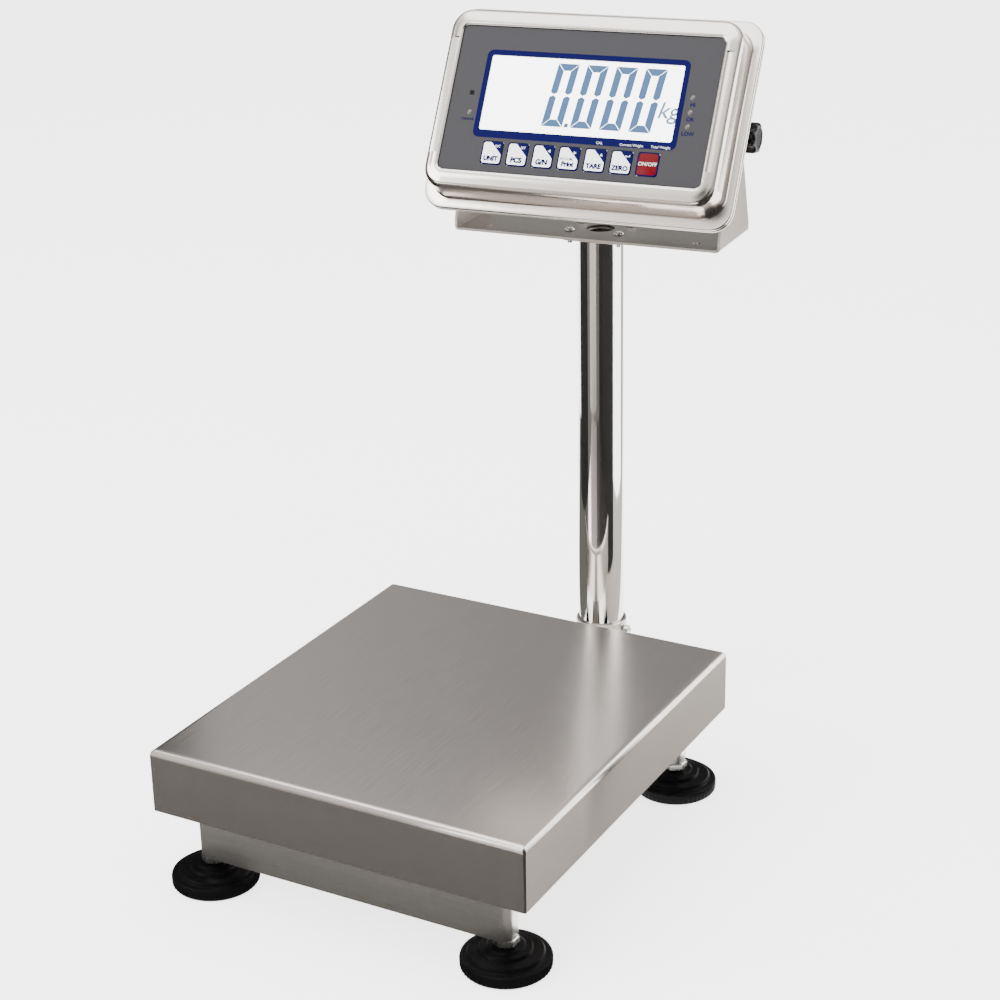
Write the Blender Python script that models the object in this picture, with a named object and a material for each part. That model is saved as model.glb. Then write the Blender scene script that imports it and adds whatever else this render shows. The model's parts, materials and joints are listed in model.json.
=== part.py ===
# Bench scale: stainless pan on a single-point load cell, twin-beam base on four levelling feet,
# and an indicator on a turning column. Sizes are in millimetres here and metres in the file.
import math

import bmesh
import bpy
from mathutils import Matrix, Vector

MM = 0.001
GAP = 0.3                              # clearance between neighbouring pieces

# overall layout, from the middle of the pan, then moved by SHIFT_Y so the box is centred
SHIFT_Y = -70.94
PAN_W, PAN_D, PAN_TOP, PAN_SKIRT, PAN_SHEET = 310.0, 340.0, 115.0, 50.0, 1.5
FOOT_X, FOOT_Y, FOOT_R = 123.6, 142.0, 33.0
BEAM_HALF, BEAM_DEEP, BEAM_BOTTOM, BEAM_TOP, BEAM_WALL = 131.0, 22.0, 24.0, 62.0, 2.0
SPINE_W, SPINE_TOP = 60.0, 60.0
COLUMN_Y, COLUMN_R, COLUMN_WALL = 260.6, 19.0, 1.5
COLUMN_LOW, COLUMN_HIGH = 33.0, 411.7
SOCKET_R, SOCKET_TOP, CLAMP_Z = 21.5, 77.0, 69.0
HEAD_YAW = 4.84                        # the column is turned this far at rest
HEAD_TILT = 30.4                       # the face leans back this far at rest
YOKE_LOW, YOKE_HALF, YOKE_DEEP, YOKE_SHEET = 417.2, 112.6, 36.0, 2.0
PIVOT_Z = 500.9
FACE = 52.0                            # the display face is this far in front of the tilt axis
OVER_W, OVER_H = 216.0, 118.0
FLANGE_W, FLANGE_H = 257.0, 166.6
REAR_W, REAR_H = 216.0, 124.0
KEY_W, KEY_H, KEY_PITCH, KEY_FIRST, KEY_ROW = 17.2, 18.6, 21.45, -64.4, -43.4
LCD_W, LCD_H, LCD_UP = 159.5, 61.0, 5.5
KEYS = ("unit", "pcs", "gross_net", "print", "tare", "zero", "power")

for old in list(bpy.data.objects):
    bpy.data.objects.remove(old, do_unlink=True)


def colour(name, rgb, rough, metal):
    made = bpy.data.materials.new(name)
    made.use_nodes = True
    shader = made.node_tree.nodes["Principled BSDF"]
    shader.inputs["Base Color"].default_value = (*rgb, 1.0)
    shader.inputs["Roughness"].default_value = rough
    shader.inputs["Metallic"].default_value = metal
    return made


STEEL = ((0.62, 0.60, 0.58), 0.3, 1.0)
POLISHED = ((0.75, 0.74, 0.73), 0.12, 1.0)
ZINC = ((0.6, 0.6, 0.58), 0.35, 1.0)
ALLOY = ((0.72, 0.73, 0.74), 0.4, 1.0)
BLACK = ((0.012, 0.012, 0.012), 0.3, 0.0)
RUBBER = ((0.02, 0.02, 0.02), 0.8, 0.0)
GREY = ((0.16, 0.155, 0.165), 0.45, 0.0)
WHITE = ((0.85, 0.86, 0.86), 0.25, 0.0)
RED = ((0.43, 0.012, 0.03), 0.4, 0.0)
GREEN = ((0.02, 0.15, 0.05), 0.5, 0.0)


def make(name, bm, finish, parent=None, at=(0, 0, 0), turn=(0, 0, 0)):
    bmesh.ops.recalc_face_normals(bm, faces=bm.faces)
    mesh = bpy.data.meshes.new(name)
    bm.to_mesh(mesh)
    bm.free()
    mesh.transform(Matrix.Scale(MM, 4))
    for face in mesh.polygons:
        face.use_smooth = True
    mesh.set_sharp_from_angle(angle=math.radians(32))
    thing = bpy.data.objects.new(name, mesh)
    bpy.context.collection.objects.link(thing)
    thing.data.materials.append(colour(name, *finish))
    thing.parent = parent
    thing.location = Vector(at) * MM
    thing.rotation_euler = [math.radians(a) for a in turn]
    return thing


def frame(name, parent, at, turn=(0, 0, 0)):
    empty = bpy.data.objects.new(name, None)
    bpy.context.collection.objects.link(empty)
    empty.parent = parent
    empty.location = Vector(at) * MM
    empty.rotation_euler = [math.radians(a) for a in turn]
    return empty


def loft(loops, ring=False):
    """Skins a row of loops of equal length; a ring joins the last to the first, else both ends are capped."""
    bm = bmesh.new()
    rows = [[bm.verts.new(p) for p in loop] for loop in loops]
    count = len(rows[0])
    pairs = list(zip(rows, rows[1:])) + ([(rows[-1], rows[0])] if ring else [])
    for a, b in pairs:
        for i in range(count):
            bm.faces.new((a[i], a[(i + 1) % count], b[(i + 1) % count], b[i]))
    if not ring:
        bm.faces.new(rows[0])
        bm.faces.new(rows[-1])
    return bm


def rounded(w, h, r, steps=5, mid=(0.0, 0.0)):
    """Outline of a rounded rectangle, anticlockwise."""
    out = []
    for cx, cy, start in ((1, 1, 0), (-1, 1, 90), (-1, -1, 180), (1, -1, 270)):
        for i in range(steps + 1):
            a = math.radians(start + 90.0 * i / steps)
            out.append((mid[0] + cx * (w / 2 - r) + r * math.cos(a), mid[1] + cy * (h / 2 - r) + r * math.sin(a)))
    return out


def circle(r, count=36, mid=(0.0, 0.0)):
    return [(mid[0] + r * math.cos(2 * math.pi * i / count), mid[1] + r * math.sin(2 * math.pi * i / count))
            for i in range(count)]


def up(outline, z):
    return [(x, y, z) for x, y in outline]


def side(outline, x):
    """Outline drawn in Y and Z, standing at x."""
    return [(x, y, z) for y, z in outline]


def face(outline, y):
    """Outline drawn in X and Z, standing at y."""
    return [(x, y, z) for x, z in outline]


def lathe(profile, count=36, ring=False, mid=(0.0, 0.0)):
    return loft([up(circle(r, count, mid), z) for r, z in profile], ring)


def block(w, d, z0, z1, mid=(0.0, 0.0), r=0.0, steps=3):
    if r:
        return loft([up(rounded(w, d, r, steps, mid), z0), up(rounded(w, d, r, steps, mid), z1)])
    x, y = mid
    base = [(x - w / 2, y - d / 2), (x + w / 2, y - d / 2), (x + w / 2, y + d / 2), (x - w / 2, y + d / 2)]
    return loft([up(base, z0), up(base, z1)])


def cut(target, tool_mesh, parent=None, at=(0, 0, 0), turn=(0, 0, 0), kind="DIFFERENCE"):
    tool = make(target.name + "_tool", tool_mesh, BLACK, parent, at, turn)
    tool.hide_render = True
    tool.display_type = "WIRE"
    change = target.modifiers.new("cut", "BOOLEAN")
    change.object = tool
    change.operation = kind
    change.solver = "EXACT"


def merged(*parts):
    """Several closed bodies in one cutter mesh."""
    out = bmesh.new()
    for part in parts:
        bmesh.ops.recalc_face_normals(part, faces=part.faces)
        temp = bpy.data.meshes.new("temp")
        part.to_mesh(temp)
        part.free()
        out.from_mesh(temp)
        bpy.data.meshes.remove(temp)
    return out


base = frame("base_frame", None, (0, SHIFT_Y, 0))

# weighing pan: five-sided tray with rounded edges, open underneath
t = PAN_SHEET
make("weighing_pan", loft(
    [up(rounded(PAN_W - 2 * t, PAN_D - 2 * t, 1.0), PAN_TOP - t),
     up(rounded(PAN_W - 2 * t, PAN_D - 2 * t, 1.0), PAN_TOP - PAN_SKIRT),
     up(rounded(PAN_W, PAN_D, 2.0), PAN_TOP - PAN_SKIRT),
     up(rounded(PAN_W, PAN_D, 2.0), PAN_TOP - 3.0),
     up(rounded(PAN_W - 0.8, PAN_D - 0.8, 1.9), PAN_TOP - 1.5),
     up(rounded(PAN_W - 2.6, PAN_D - 2.6, 1.6), PAN_TOP - 0.4),
     up(rounded(PAN_W - 6.0, PAN_D - 6.0, 1.2), PAN_TOP)]), STEEL, base)

# pan support: an H-shaped plate on the load cell, with a rubber buffer at each end
PLATE = (94.0, 99.0)
outline = [(-45, -60), (-45, -82), (-130, -82), (-130, -110), (130, -110), (130, -82), (45, -82), (45, -60),
           (45, 60), (45, 82), (130, 82), (130, 110), (-130, 110), (-130, 82), (-45, 82), (-45, 60)]
support = make("pan_support", loft([up(outline, PLATE[0]), up(outline, PLATE[1])]), ZINC, base)
cut(support, merged(*[lathe([(3.3, PLATE[0] - 2), (3.3, PLATE[1] + 2)], 12, mid=(0, y)) for y in (43, 57)]), base)
for i, (x, y) in enumerate(((-118, -96), (118, -96), (118, 96), (-118, 96))):
    make(f"pan_buffer_{i + 1}", lathe([(7.5, PLATE[1] + GAP), (9.0, PLATE[1] + 3), (9.0, PAN_TOP - t - 4),
                                       (7.0, PAN_TOP - t - GAP)], 16), RUBBER, base, (x, y, 0))

# single-point load cell between its two spacers
cell = make("load_cell", block(30, 130, 66.0, 88.0, r=1.0, steps=1), ALLOY, base)
cut(cell, merged(loft([side(circle(8.5, 16, (-17, 77)), -20), side(circle(8.5, 16, (-17, 77)), 20)]),
                 loft([side(circle(8.5, 16, (17, 77)), -20), side(circle(8.5, 16, (17, 77)), 20)])), base)
cut(cell, loft([side([(-17, 75), (17, 75), (17, 79), (-17, 79)], -20),
                side([(-17, 75), (17, 75), (17, 79), (-17, 79)], 20)]), base)
cut(cell, merged(*[lathe([(3.3, 60.0), (3.3, 76.0)], 12, mid=(0, y)) for y in (-57, -43)],
                 *[lathe([(3.3, 78.0), (3.3, 92.0)], 12, mid=(0, y)) for y in (43, 57)]), base)
for name, y, z0, z1 in (("cell_spacer_low", -50, SPINE_TOP + GAP, 66 - GAP),
                        ("cell_spacer_high", 50, 88 + GAP, PLATE[0] - GAP)):
    spacer = make(name, block(30, 30, z0, z1, (0, y), 1.0, 1), STEEL, base)
    cut(spacer, merged(*[lathe([(3.3, z0 - 1), (3.3, z1 + 1)], 12, mid=(0, y + d)) for d in (-7, 7)]), base)
for i, y in enumerate((-57, -43)):
    top = SPINE_TOP - BEAM_WALL - GAP
    make(f"cell_bolt_{i + 1}", lathe([(3.0, 75.0), (3.0, top), (5.0, top), (5.0, top - 5.0)], 14), ZINC, base, (0, y, 0))
for i, y in enumerate((43, 57)):
    low = PLATE[1] + GAP
    make(f"cell_bolt_{i + 3}", lathe([(3.0, 79.0), (3.0, low), (5.0, low), (5.0, low + 5.0)], 14), ZINC, base, (0, y, 0))

# base: two cross beams (open on top), a spine between them (open below), and a bracket for the column
for name, sign in (("front_beam", -1), ("rear_beam", 1)):
    y = sign * FOOT_Y
    w, d, r = 2 * BEAM_HALF, BEAM_DEEP, 8.0
    inner = rounded(w - 2 * BEAM_WALL, d - 2 * BEAM_WALL, r - BEAM_WALL, 5, (0, y))
    outer = rounded(w, d, r, 5, (0, y))
    beam = make(name, loft([up(inner, BEAM_BOTTOM + BEAM_WALL), up(inner, BEAM_TOP), up(outer, BEAM_TOP),
                            up(outer, BEAM_BOTTOM + 0.8),
                            up(rounded(w - 1.6, d - 1.6, r - 0.8, 5, (0, y)), BEAM_BOTTOM)]), STEEL, base)
    cut(beam, merged(*[lathe([(5.3, BEAM_BOTTOM - 2), (5.3, BEAM_BOTTOM + 6)], 24, mid=(x, y))
                       for x in (-FOOT_X, FOOT_X)]), base)
span = FOOT_Y - BEAM_DEEP / 2 - GAP
tall = [(-SPINE_W / 2, 28.0), (-SPINE_W / 2, SPINE_TOP), (SPINE_W / 2, SPINE_TOP), (SPINE_W / 2, 28.0),
        (SPINE_W / 2 - BEAM_WALL, 28.0), (SPINE_W / 2 - BEAM_WALL, SPINE_TOP - BEAM_WALL),
        (-SPINE_W / 2 + BEAM_WALL, SPINE_TOP - BEAM_WALL), (-SPINE_W / 2 + BEAM_WALL, 28.0)]
spine = make("spine_beam", loft([face(tall, -span), face(tall, span)]), STEEL, base)
cut(spine, merged(*[lathe([(3.3, 50.0), (3.3, 66.0)], 12, mid=(0, y)) for y in (-57, -43)]), base)

near = FOOT_Y + BEAM_DEEP / 2 + GAP
arm = [(-30, near), (30, near), (30, COLUMN_Y)] + [
    (x, y) for x, y in circle(30, 24, (0, COLUMN_Y)) if y > COLUMN_Y + 0.1] + [(-30, COLUMN_Y)]
bracket = make("column_bracket", loft([up(arm, 26.0), up(arm, 29.0)]), STEEL, base)
cut(bracket, block(60, 3, 28.0, 58.0, (0, near + 1.5)), base, kind="UNION")
for x in (-27.0, 27.0):
    rib = [(near + 1, 28.0), (near + 75, 28.0), (near + 1, 55.0)]
    cut(bracket, loft([side(rib, x - 1.2), side(rib, x + 1.2)]), base, kind="UNION")

R = COLUMN_R + GAP
socket = make("column_socket", lathe([(R, 32.7), (R, SOCKET_TOP), (SOCKET_R - 0.5, SOCKET_TOP), (SOCKET_R, SOCKET_TOP - 0.5),
                                      (SOCKET_R, 35.0), (SOCKET_R + 4, 33.0), (SOCKET_R + 4, 29.3)], 40), STEEL,
              base, (0, COLUMN_Y, 0))
cut(socket, loft([side(circle(2.8, 20, (0, CLAMP_Z)), 10), side(circle(2.8, 20, (0, CLAMP_Z)), 30)]), base,
    (0, COLUMN_Y, 0))
screw = loft([side(circle(r, 20), x) for x, r in ((19.4, 2.0), (20.0, 2.5), (22.2, 2.5), (22.2, 3.6), (26.6, 3.6), (27.2, 3.0))])
make("clamp_screw", screw, POLISHED, base, (0, COLUMN_Y, CLAMP_Z))

# four levelling feet: stepped pad, threaded stud and lock nut
for i, (sx, sy) in enumerate(((-1, -1), (1, -1), (1, 1), (-1, 1))):
    spot = (sx * FOOT_X, sy * FOOT_Y, 0)
    make(f"foot_pad_{i + 1}", lathe(
        [(30.0, 0.0), (32.0, 0.5), (FOOT_R, 2.0), (FOOT_R, 8.0), (32.0, 9.2), (28.0, 10.0), (27.0, 12.6), (20.0, 13.3),
         (18.5, 15.8), (14.0, 16.2), (13.0, 17.5), (5.3, 17.5), (5.3, 7.7)], 28), BLACK, base, spot)
    make(f"foot_stud_{i + 1}", lathe([(4.4, 8.0), (5.0, 8.6), (5.0, 51.0), (4.2, 52.0)], 14), ZINC, base, spot)
    make(f"foot_nut_{i + 1}", loft([up(circle(5.3, 12), 17.8), up([
        (Vector(p) * (8.5 / max(abs(math.cos(math.atan2(p[1], p[0]) - k * math.pi / 3)) for k in range(6)))).to_tuple()
        for p in circle(1.0, 12)], 17.8), up([
            (Vector(p) * (8.5 / max(abs(math.cos(math.atan2(p[1], p[0]) - k * math.pi / 3)) for k in range(6)))).to_tuple()
            for p in circle(1.0, 12)], 23.7), up(circle(5.3, 12), 23.7)], True), ZINC, base, spot)

# column, with the yoke bolted to its top flange
column = frame("column_turn", base, (0, COLUMN_Y, 0), (0, 0, HEAD_YAW))
bore_r = COLUMN_R - COLUMN_WALL
make("column_tube", lathe([(bore_r, COLUMN_LOW), (bore_r, COLUMN_HIGH), (COLUMN_R, COLUMN_HIGH), (COLUMN_R, COLUMN_LOW)],
                          48, True), POLISHED, column)
FLANGE_Z = (COLUMN_HIGH + GAP, YOKE_LOW - GAP)
SCREWS = ((-21, -14), (21, -14), (21, 14), (-21, 14))
flange = make("column_flange", block(54, 40, FLANGE_Z[0], FLANGE_Z[1], r=5.0), STEEL, column)
cut(flange, merged(lathe([(11.0, FLANGE_Z[0] - 2), (11.0, FLANGE_Z[1] + 2)], 32),
                   *[lathe([(2.3, FLANGE_Z[0] - 2), (2.3, FLANGE_Z[1] + 2)], 16, mid=p) for p in SCREWS]), column)

# yoke: one folded sheet, floor and two tapering ears
s, h, y0 = YOKE_SHEET, YOKE_HALF, YOKE_LOW
inside = h - s
fold = [(-h, y0 + 40), (-h, y0 + 3), (-h + 0.9, y0 + 0.9), (-h + 3, y0), (h - 3, y0), (h - 0.9, y0 + 0.9), (h, y0 + 3),
        (h, y0 + 40), (h, PIVOT_Z + 14), (inside, PIVOT_Z + 14), (inside, y0 + 4), (inside - 0.6, y0 + s + 0.6),
        (inside - 2, y0 + s), (-inside + 2, y0 + s), (-inside + 0.6, y0 + s + 0.6), (-inside, y0 + 4),
        (-inside, PIVOT_Z + 14), (-h, PIVOT_Z + 14)]
yoke = make("yoke", loft([face(fold, -YOKE_DEEP), face(fold, YOKE_DEEP)]), STEEL, column)
for sign in (-1, 1):
    edge = [(sign * YOKE_DEEP, y0 + 8), (sign * 12.6, PIVOT_Z + 1)]
    edge += [(sign * 13 * math.cos(math.radians(a)), PIVOT_Z + 13 * math.sin(math.radians(a))) for a in range(18, 91, 12)]
    edge += [(0, PIVOT_Z + 20), (sign * 60, PIVOT_Z + 20), (sign * 60, y0 + 8)]
    cut(yoke, loft([side(edge, -h - 5), side(edge, h + 5)]), column)
cut(yoke, merged(lathe([(11.5, y0 - 3), (11.5, y0 + s + 3)], 32),
                 *[lathe([(2.3, y0 - 3), (2.3, y0 + s + 3)], 16, mid=p) for p in SCREWS],
                 *[lathe([(3.0, y0 - 3), (3.0, y0 + s + 3)], 16, mid=(x, y)) for x in (-88, 88) for y in (-20, 20)],
                 *[loft([side(circle(3.3, 20, (0, PIVOT_Z)), x), side(circle(3.3, 20, (0, PIVOT_Z)), x + 12)])
                   for x in (-h - 5, h - 7)]), column)
for i, (x, y) in enumerate(SCREWS):
    z = y0 + s + GAP
    make(f"yoke_screw_{i + 1}", lathe([(2.0, FLANGE_Z[0] - 3.0), (2.0, z), (4.2, z), (4.2, z + 1.4), (2.6, z + 2.8)], 14),
         ZINC, column, (x, y, 0))

# indicator: everything here is drawn from the tilt axis, with the face towards -Y
head = frame("indicator_tilt", column, (0, 0, PIVOT_Z), (-HEAD_TILT, 0, 0))


def level(n):
    """Y of a plane n in front of the display face."""
    return -FACE - n


def slab(outline_a, n_a, outline_b, n_b):
    return loft([face(outline_a, level(n_a)), face(outline_b, level(n_b))])


key_spots = [(KEY_FIRST + KEY_PITCH * i, KEY_ROW) for i in range(7)]

front = make("front_shell", loft([
    face(rounded(229, 135, 12), level(-3.8)),
    face(rounded(235, 141, 13), level(-25.7)),
    face(rounded(235, 141, 13), level(-28.4)),
    face(rounded(FLANGE_W, FLANGE_H, 17), level(-28.4)),
    face(rounded(FLANGE_W, FLANGE_H, 17), level(-26.6)),
    face(rounded(FLANGE_W - 1.4, FLANGE_H - 1.4, 16.5), level(-26.0)),
    face(rounded(243, 149, 17), level(-26.0)),
    face(rounded(241, 147, 16.5), level(-6.0)),
    face(rounded(239.5, 145.5, 16), level(-2.0)),
    face(rounded(235.5, 141.5, 14), level(0.6)),
    face(rounded(229, 135, 11), level(1.6)),
    face(rounded(220, 122, 6.5), level(1.6)),
    face(rounded(OVER_W + 2 * GAP, OVER_H + 2 * GAP, 4.3), level(0.9)),
    face(rounded(OVER_W + 2 * GAP, OVER_H + 2 * GAP, 4.3), level(-1.6))]), STEEL, head)
cut(front, slab(rounded(LCD_W + 2, LCD_H + 2, 3, 3, (0, LCD_UP)), 3, rounded(LCD_W + 2, LCD_H + 2, 3, 3, (0, LCD_UP)), -9), head)
cut(front, merged(*[slab(rounded(11.6, 11.6, 1, 2, p), 3, rounded(11.6, 11.6, 1, 2, p), -9) for p in key_spots]), head)

over = make("overlay", slab(rounded(OVER_W, OVER_H, 4), 0, rounded(OVER_W, OVER_H, 4), -1.3), GREY, head)
cut(over, slab(rounded(LCD_W, LCD_H, 2, 3, (0, LCD_UP)), 3, rounded(LCD_W, LCD_H, 2, 3, (0, LCD_UP)), -5), head)
cut(over, merged(*[slab(rounded(KEY_W + 0.6, KEY_H + 0.6, 2.3, 3, p), 3, rounded(KEY_W + 0.6, KEY_H + 0.6, 2.3, 3, p), -5)
                   for p in key_spots]), head)
for name, (x, z) in zip(KEYS, key_spots):
    make("key_" + name, loft([
        face(rounded(11, 11, 1, 3, (0, 0)), level(-6.2)),
        face(rounded(11, 11, 1, 3, (0, 0)), level(-0.9)),
        face(rounded(KEY_W, KEY_H, 2, 3, (0, 0)), level(-0.9)),
        face(rounded(KEY_W, KEY_H, 2, 3, (0, 0)), level(0.15)),
        face(rounded(KEY_W - 0.8, KEY_H - 0.8, 1.6, 3, (0, 0)), level(0.45))]), RED if name == "power" else WHITE,
        head, (x, 0, z))

lcd = [(LCD_W - 0.6, LCD_H - 0.6, 1.6), (176, 75, 2.0)]
make("lcd_module", loft([
    face(rounded(lcd[0][0], lcd[0][1], lcd[0][2], 3, (0, LCD_UP)), level(-0.4)),
    face(rounded(lcd[0][0], lcd[0][1], lcd[0][2], 3, (0, LCD_UP)), level(-4.4)),
    face(rounded(168, 68, 2.0, 3, (0, LCD_UP)), level(-4.4)),
    face(rounded(168, 68, 2.0, 3, (0, LCD_UP)), level(-12.0))]), WHITE, head)
keypad = make("key_board", slab(rounded(164, 22, 1.5, 2, (-1, -47)), -8.2, rounded(164, 22, 1.5, 2, (-1, -47)), -9.8),
              GREEN, head)
for x, z in key_spots:
    cut(keypad, slab(circle(2.4, 12, (x, z)), -7.1, circle(2.4, 12, (x, z)), -9.0), head, kind="UNION")
make("main_board", slab(rounded(200, 112, 3, 2), -14.0, rounded(200, 112, 3, 2), -15.6), GREEN, head)
make("battery", loft([face(rounded(96, 62, 2, 2, (-40, -18)), level(n)) for n in (-24.0, -68.5)]), GREY, head)

make("housing_gasket", loft([face(rounded(FLANGE_W - 1, FLANGE_H - 1, 16.5), level(-28.7)),
                             face(rounded(FLANGE_W - 1, FLANGE_H - 1, 16.5), level(-30.2)),
                             face(rounded(REAR_W + 4, REAR_H + 4, 9), level(-30.2)),
                             face(rounded(REAR_W + 4, REAR_H + 4, 9), level(-28.7))], True), RUBBER, head)
rear = make("rear_shell", loft([
    face(rounded(REAR_W - 8, REAR_H - 8, 6), level(-71.2)),
    face(rounded(REAR_W - 5, REAR_H - 5, 7), level(-33.0)),
    face(rounded(REAR_W - 5, REAR_H - 5, 7), level(-30.5)),
    face(rounded(FLANGE_W - 1.4, FLANGE_H - 1.4, 16.5), level(-30.5)),
    face(rounded(FLANGE_W, FLANGE_H, 17), level(-31.1)),
    face(rounded(FLANGE_W, FLANGE_H, 17), level(-32.9)),
    face(rounded(REAR_W, REAR_H, 9), level(-32.9)),
    face(rounded(REAR_W - 1.0, REAR_H - 1.5, 9), level(-70.0)),
    face(rounded(REAR_W - 3.6, REAR_H - 4.6, 8), level(-72.8)),
    face(rounded(REAR_W - 8.0, REAR_H - 9.0, 6), level(-73.8))]), STEEL, head)
cut(rear, merged(*[loft([side(circle(3.3, 20), x), side(circle(3.3, 20), x + 14)]) for x in (-118, 104)],
                 slab(circle(6.8, 24, (48, -34)), -60, circle(6.8, 24, (48, -34)), -82),
                 slab(circle(5.6, 24, (72, -34)), -60, circle(5.6, 24, (72, -34)), -82)), head)
for label, sign in (("left", -1), ("right", 1)):
    def along(rows, lobes=0):
        loops = []
        for x, r in rows:
            count = 32 if lobes else 16
            loops.append(side([((r + (0.9 * math.cos(8 * a) if lobes and r > 9 else 0)) * math.cos(a),
                                (r + (0.9 * math.cos(8 * a) if lobes and r > 9 else 0)) * math.sin(a))
                               for a in [2 * math.pi * i / count for i in range(count)]], sign * x))
        return loops
    make(f"knob_{label}", loft(along([(99.0, 2.6), (99.4, 3.0), (113.2, 3.0), (113.2, 7.5), (118.0, 7.5), (119.0, 10.6),
                                      (120.0, 11.3), (129.0, 11.3), (130.6, 10.2), (131.0, 8.0)], 8)), BLACK, head)
    make(f"knob_washer_{label}", loft(along([(108.4, 3.3), (110.3, 3.3), (110.3, 10.0), (108.4, 10.0)]), True), RUBBER, head)
make("cable_gland", loft([face(circle(r, 16, (48, -34)), level(n)) for r, n in
                          ((6.4, -66.0), (6.4, -74.1), (9.0, -74.1), (9.0, -78.0), (8.0, -79.0), (8.0, -86.0), (6.0, -88.0),
                           (3.2, -88.0), (3.2, -66.0))], True), BLACK, head)
make("charger_socket", loft([face(circle(r, 16, (72, -34)), level(n)) for r, n in
                             ((5.2, -64.0), (5.2, -74.1), (7.4, -74.1), (7.4, -75.6), (3.0, -75.6), (3.0, -67.0))]),
     BLACK, head)
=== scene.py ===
# Bench scale, as it looks: brushed and polished stainless, a printed grey overlay, a white display and
# black feet. Lengths are in millimetres, drawn in the frame of the piece they belong to.
import json
import math

import bmesh
import bpy
from mathutils import Matrix, Vector


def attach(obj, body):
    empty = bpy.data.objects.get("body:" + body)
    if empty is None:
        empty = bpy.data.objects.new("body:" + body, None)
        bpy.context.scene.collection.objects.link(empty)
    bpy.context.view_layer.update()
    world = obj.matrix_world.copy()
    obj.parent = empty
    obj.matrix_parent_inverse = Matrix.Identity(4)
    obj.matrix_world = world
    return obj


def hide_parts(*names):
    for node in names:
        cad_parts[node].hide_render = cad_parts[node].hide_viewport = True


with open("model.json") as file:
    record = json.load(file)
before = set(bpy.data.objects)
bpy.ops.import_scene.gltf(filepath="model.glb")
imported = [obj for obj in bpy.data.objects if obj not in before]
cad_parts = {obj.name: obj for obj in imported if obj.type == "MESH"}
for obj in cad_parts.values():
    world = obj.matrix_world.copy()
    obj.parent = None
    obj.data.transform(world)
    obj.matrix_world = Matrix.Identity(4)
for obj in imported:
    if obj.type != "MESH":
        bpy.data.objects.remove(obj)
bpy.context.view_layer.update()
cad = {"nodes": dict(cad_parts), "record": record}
MM = 0.001
SHIFT_Y = -70.94  # from the middle of the pan to the middle of the bounding box
PAN_W, PAN_D, PAN_TOP, PAN_SKIRT, PAN_SHEET, PAN_EDGE = 310.0, 340.0, 115.0, 50.0, 1.5, 5.2
FOOT_X, FOOT_Y = 123.6, 142.0
STUD_HOLE_R, NUT_FLATS, RIBS = 5.3, 17.0, 104
BEAM_HALF, BEAM_DEEP, BEAM_LOW, BEAM_HIGH, BEAM_WALL = 131.0, 22.0, 24.0, 62.0, 2.0
COLUMN_Y, COLUMN_R, COLUMN_LOW, COLUMN_HIGH = 260.6, 19.0, 33.0, 411.7
SOCKET_R, SOCKET_TOP, CLAMP_Z = 21.5, 77.0, 69.0
HEAD_YAW, HEAD_TILT, PIVOT_Z, FACE = 4.84, 30.4, 500.9, 52.0
YOKE_LOW, YOKE_HALF, YOKE_DEEP, SHEET, EAR_R, EAR_TOP = 417.2, 112.6, 36.0, 2.0, 13.0, 14.0
CABLE_R, SCREW_HOLE_R, SPARE_HOLE_R, KNOB_HOLE_R, GAP = 11.0, 2.3, 3.0, 3.3, 0.3
FLANGE_X, FLANGE_Y = 54.0, 40.0
OVER_W, OVER_H, FLANGE_W, FLANGE_H, REAR_W, REAR_H = 216.0, 118.0, 257.0, 166.6, 216.0, 124.0
KEY_W, KEY_H, KEY_PITCH, KEY_FIRST, KEY_ROW = 17.2, 18.6, 21.45, -64.4, -43.4
LCD_W, LCD_H, LCD_UP = 159.5, 61.0, 5.5
KEYS = ("unit", "pcs", "gross_net", "print", "tare", "zero", "power")
SCREWS = ((-21, -14), (21, -14), (21, 14), (-21, 14))
GLAND_SPOT, CHARGER_SPOT = (48, -34), (72, -34)

BASE = Matrix.Translation(Vector((0, SHIFT_Y, 0)) * MM)
COLUMN = (BASE @ Matrix.Translation(Vector((0, COLUMN_Y, 0)) * MM)
          @ Matrix.Rotation(math.radians(HEAD_YAW), 4, "Z"))
HEAD = (COLUMN @ Matrix.Translation(Vector((0, 0, PIVOT_Z)) * MM)
        @ Matrix.Rotation(-math.radians(HEAD_TILT), 4, "X"))


# ---------- finishes ----------
def srgb(r, g, b):
    def one(c):
        c /= 255
        return c / 12.92 if c <= 0.04045 else ((c + 0.055) / 1.055) ** 2.4
    return (one(r), one(g), one(b), 1.0)


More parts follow.
